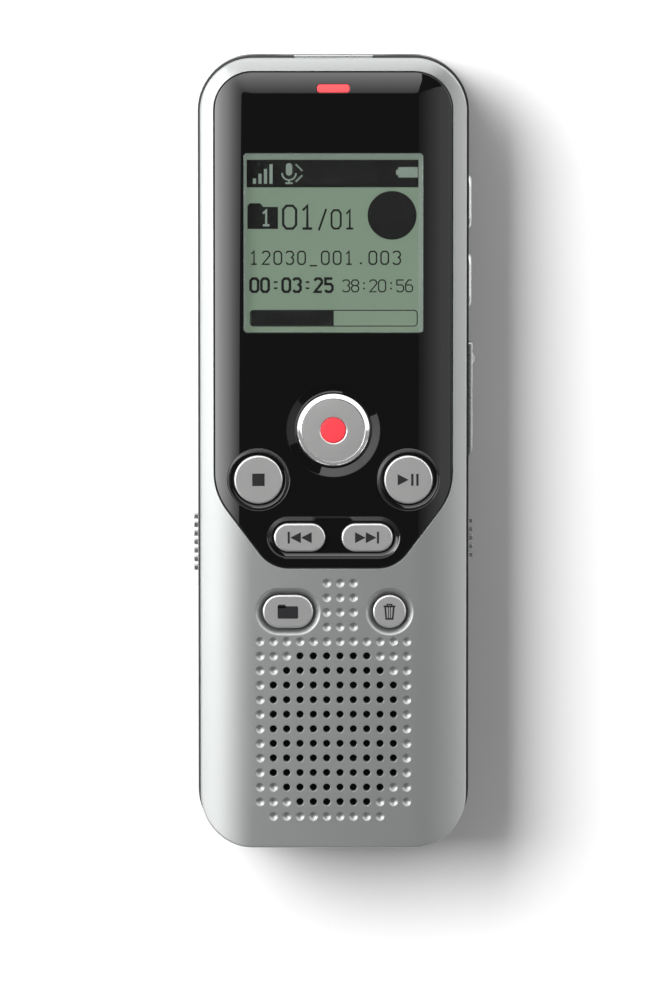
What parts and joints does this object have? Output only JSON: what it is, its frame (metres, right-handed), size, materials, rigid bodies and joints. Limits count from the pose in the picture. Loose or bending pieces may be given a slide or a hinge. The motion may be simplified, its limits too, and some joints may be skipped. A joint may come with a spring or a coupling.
{
  "type": "handheld voice recorder",
  "caption": "Slim handheld voice recorder with a display under a gloss front panel, front keys, a speaker grid, side keys and sliders, and a battery door on the back.",
  "frame": {"origin": "on the resting back face, under the middle of the case", "axes": "+X to the right across the front, +Y towards the microphone end, +Z out of the front face"},
  "size_m": [0.0385, 0.108, 0.0207],
  "materials": {
    "silver_case": "satin silver paint",
    "dark_case": "fine matt moulded",
    "gloss_panel": "polished gloss",
    "clear_lens": "clear polished",
    "red_lens": "translucent polished",
    "trim_metal": "fine satin",
    "lcd": "grey green display",
    "white_plastic": "smooth moulded",
    "light_guide": "clear moulded",
    "flex_film": "amber film",
    "circuit_board": "solder mask",
    "chip_black": "moulded epoxy",
    "plated_steel": "bright plated",
    "component_tan": "ceramic",
    "speaker_grey": "moulded",
    "magnet_steel": "plated",
    "cone_paper": "pressed paper",
    "foam_black": "soft foam",
    "mesh_black": "fine woven mesh",
    "wire_red": "insulated wire",
    "capsule_metal": "drawn can",
    "rubber_black": "soft moulded",
    "socket_black": "moulded",
    "cell_wrap": "printed sleeve",
    "screw_black": "black oxide",
    "key_chrome": "bright plated",
    "key_silver": "satin plated",
    "record_red": "gloss"
  },
  "bodies": {
    "case": {"front_shell": "silver_case", "back_shell": "dark_case", "front_panel": "gloss_panel", "display_lens": "clear_lens", "led_light_pipe": "red_lens", "microphone_trim": "trim_metal", "lcd_glass": "lcd", "lcd_holder": "white_plastic", "lcd_light_guide": "light_guide", "lcd_flex": "flex_film", "lcd_connector": "white_plastic", "main_board": "circuit_board", "processor_chip": "chip_black", "memory_chip": "chip_black", "audio_chip": "chip_black", "crystal": "plated_steel", "board_components": "component_tan", "tact_switches": "plated_steel", "volume_switches": "plated_steel", "hold_switch": "plated_steel", "mode_switch": "plated_steel", "led_chip": "white_plastic", "speaker_frame": "speaker_grey", "speaker_magnet": "magnet_steel", "speaker_cone": "cone_paper", "speaker_gasket": "foam_black", "speaker_mesh": "mesh_black", "speaker_leads": "wire_red", "microphone_capsule": "capsule_metal", "microphone_boot": "rubber_black", "headphone_socket": "socket_black", "microphone_socket": "socket_black", "usb_socket": "plated_steel", "card_socket": "plated_steel", "battery_left": "cell_wrap", "battery_right": "cell_wrap", "battery_springs": "plated_steel", "battery_bridge_contact": "plated_steel", "battery_positive_contact": "plated_steel", "battery_negative_contact": "plated_steel", "case_screws": "screw_black", "board_screws": "plated_steel", "card_cover_pin": "plated_steel"},
    "record_key": {"record_button": "key_chrome", "record_button_face": "key_silver", "record_button_dot": "record_red"},
    "stop_key": {"stop_button": "key_silver"},
    "play_key": {"play_button": "key_silver"},
    "rewind_key": {"rewind_button": "key_silver"},
    "forward_key": {"forward_button": "key_silver"},
    "folder_key": {"folder_button": "key_silver"},
    "delete_key": {"delete_button": "key_silver"},
    "volume_up": {"volume_up_key": "trim_metal"},
    "volume_down": {"volume_down_key": "trim_metal"},
    "hold_switch_slider": {"hold_slider": "trim_metal"},
    "mode_switch_slider": {"mode_slider": "trim_metal"},
    "card_flap": {"card_cover": "trim_metal"},
    "battery_cover": {"battery_door": "dark_case"}
  },
  "joints": [
    {"name": "record_press", "type": "slide", "parent": "case", "child": "record_key", "axis": [0, 0, -1], "range_m": [0, 0.00035], "stiffness_N_per_m": 1500},
    {"name": "stop_press", "type": "slide", "parent": "case", "child": "stop_key", "axis": [0, 0, -1], "range_m": [0, 0.00035], "stiffness_N_per_m": 1500},
    {"name": "play_press", "type": "slide", "parent": "case", "child": "play_key", "axis": [0, 0, -1], "range_m": [0, 0.00035], "stiffness_N_per_m": 1500},
    {"name": "rewind_press", "type": "slide", "parent": "case", "child": "rewind_key", "axis": [0, 0, -1], "range_m": [0, 0.00035], "stiffness_N_per_m": 1500},
    {"name": "forward_press", "type": "slide", "parent": "case", "child": "forward_key", "axis": [0, 0, -1], "range_m": [0, 0.00035], "stiffness_N_per_m": 1500},
    {"name": "folder_press", "type": "slide", "parent": "case", "child": "folder_key", "axis": [0, 0, -1], "range_m": [0, 0.00035], "stiffness_N_per_m": 1500},
    {"name": "delete_press", "type": "slide", "parent": "case", "child": "delete_key", "axis": [0, 0, -1], "range_m": [0, 0.00035], "stiffness_N_per_m": 1500},
    {"name": "volume_up_press", "type": "slide", "parent": "case", "child": "volume_up", "axis": [-1, 0, 0], "range_m": [0, 0.0003], "stiffness_N_per_m": 1500},
    {"name": "volume_down_press", "type": "slide", "parent": "case", "child": "volume_down", "axis": [-1, 0, 0], "range_m": [0, 0.0003], "stiffness_N_per_m": 1500},
    {"name": "hold_slide", "type": "slide", "parent": "case", "child": "hold_switch_slider", "axis": [0, -1, 0], "range_m": [0, 0.0014]},
    {"name": "mode_slide", "type": "slide", "parent": "case", "child": "mode_switch_slider", "axis": [0, -1, 0], "range_m": [0, 0.0011]},
    {"name": "card_cover_hinge", "type": "hinge", "parent": "case", "child": "card_flap", "pos_m": [0.01775, 0.0002, 0.0109], "axis": [0, 0, -1], "range_deg": [0, 90]},
    {"name": "battery_door_slide", "type": "slide", "parent": "case", "child": "battery_cover", "axis": [0, -1, 0], "range_m": [0, 0.058]}
  ]
}
